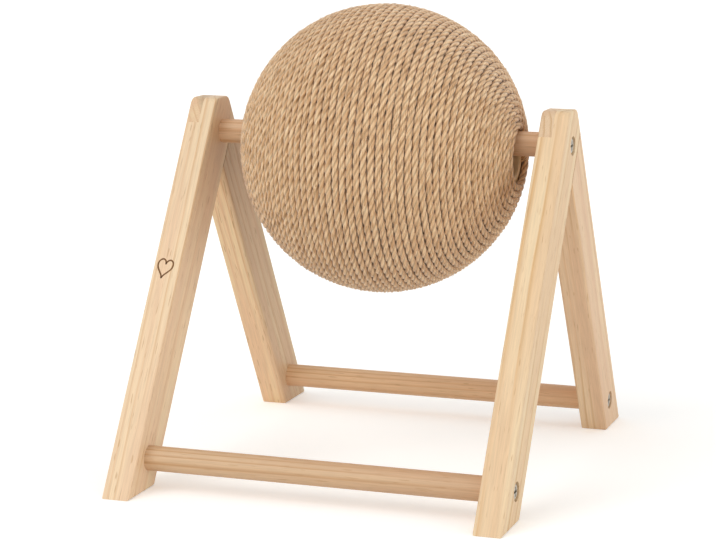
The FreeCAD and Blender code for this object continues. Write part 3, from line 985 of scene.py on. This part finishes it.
    def map_cord(self, mesh: bpy.types.Mesh, layer: CordLayer, twist: np.ndarray, columns: int) -> None:
        """Writes where each corner lies along the cord and round it, in metres, for the cord's patterns.

        Args:
            mesh: The cord's mesh.
            layer: The layer of coordinates that is written.
            twist: Angle that is added round the cord at each ring.
            columns: Vertices in each ring.
        """
        rings = len(twist)
        ring, column = np.meshgrid(np.arange(rings - 1), np.arange(columns), indexing="ij")
        low = twist[:-1, None]
        high = twist[1:, None]
        step = 2 * math.pi / columns
        along = np.stack((ring, ring, ring + 1, ring + 1), axis=-1) * self.ring_step
        around = np.stack((low + column * step, low + (column + 1) * step,
                           high + (column + 1) * step, high + column * step), axis=-1) * self.pitch() / 2
        sides = np.stack((along, around), axis=-1).reshape(-1)
        places = np.zeros(len(mesh.loops) * 2)
        places[:len(sides)] = sides
        mesh.uv_layers.new(name=layer.value).data.foreach_set("uv", places)


@dataclass(frozen=True)
class Softbox:
    """A broad, soft lamp: its strength, and where it stands round the object and above the floor."""

    name: str
    strength: float
    azimuth: float
    elevation: float

    def toward(self) -> Vector:
        """The way from the object to the lamp, with the azimuth from the front towards the right."""
        level = math.cos(self.elevation)
        return Vector((
            level * math.sin(self.azimuth), -level * math.cos(self.azimuth), math.sin(self.elevation)))


@dataclass
class Studio:
    """White floor and surroundings, soft light from the front left and the right, and the camera."""

    floor_side: float = 12.0
    floor_drop: float = 0.1 * MM
    backdrop: BackdropFinish = BackdropFinish()
    sky_colour: str = "#FFFFFF"
    sky_strength: float = 0.714
    softboxes: Sequence[Softbox] = (
        Softbox("front_left_softbox", 0.82, math.radians(-34), math.radians(42)),
        Softbox("right_softbox", 0.60, math.radians(72), math.radians(12)),
    )
    softbox_width: float = math.radians(40)
    camera_place: tuple[float, float, float] = (371.8 * MM, -1136.6 * MM, 311.3 * MM)
    camera_yaw: float = math.radians(18.66)
    camera_pitch: float = math.radians(10.01)
    camera_roll: float = 0.0044
    focal_pixels: float = 2307.0
    image_width: float = 716.0
    sensor_width: float = 36.0

    def build(self) -> None:
        """Sets up the floor, the light and the camera."""
        bpy.context.scene.view_settings.view_transform = "Standard"
        self.lay_floor()
        self.light()
        self.set_camera()

    def lay_floor(self) -> None:
        """Lays the floor, a hair lower than the feet."""
        half = self.floor_side / 2
        low = -self.floor_drop
        points = np.array([(-half, -half, low), (half, -half, low), (half, half, low), (-half, half, low)])
        mesh_piece("floor", points, [(0, 1, 2, 3)], self.backdrop.build())

    def light(self) -> None:
        """Lights the scene with an even white sky and the softboxes."""
        world = bpy.data.worlds.new("studio")
        world.use_nodes = True
        tree = world.node_tree
        tree.nodes.clear()
        strength = add_node(tree, "ShaderNodeMapRange", inputs={
            "Value": seen(tree), "To Min": self.sky_strength, "To Max": 1.0}).outputs["Result"]
        background = add_node(tree, "ShaderNodeBackground", inputs={
            "Color": linear(self.sky_colour), "Strength": strength})
        add_node(tree, "ShaderNodeOutputWorld", inputs={"Surface": background.outputs["Background"]})
        bpy.context.scene.world = world

        for softbox in self.softboxes:
            data = bpy.data.lights.new(softbox.name, "SUN")
            data.energy = softbox.strength
            data.angle = self.softbox_width
            lamp = bpy.data.objects.new(softbox.name, data)
            lamp.rotation_euler = softbox.toward().to_track_quat("Z", "Y").to_euler()
            bpy.context.scene.collection.objects.link(lamp)

    def set_camera(self) -> None:
        """Puts the camera where the photograph was taken from."""
        data = bpy.data.cameras.new("camera")
        data.sensor_fit = "HORIZONTAL"
        data.sensor_width = self.sensor_width
        data.lens = self.sensor_width * self.focal_pixels / self.image_width
        camera = bpy.data.objects.new("camera", data)
        level = Euler((math.pi / 2 - self.camera_pitch, 0, self.camera_yaw)).to_matrix()
        rolled = level @ Matrix.Rotation(self.camera_roll, 3, "Z")
        camera.matrix_world = Matrix.Translation(self.camera_place) @ rolled.to_4x4()
        bpy.context.scene.collection.objects.link(camera)
        bpy.context.scene.camera = camera


def main() -> None:
    """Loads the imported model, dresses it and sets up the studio."""
    logging.basicConfig(level=logging.INFO, format="%(name)s: %(message)s")
    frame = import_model()
    nodes = frame["nodes"]
    spin = next(joint for joint in frame["joints"] if joint["name"] == "ball_spin")
    Stand(nodes).build()
    WoundBall(nodes, Vector(spin["pos_m"])).build()
    Studio().build()
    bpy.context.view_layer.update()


if __name__ == "__main__":
    main()
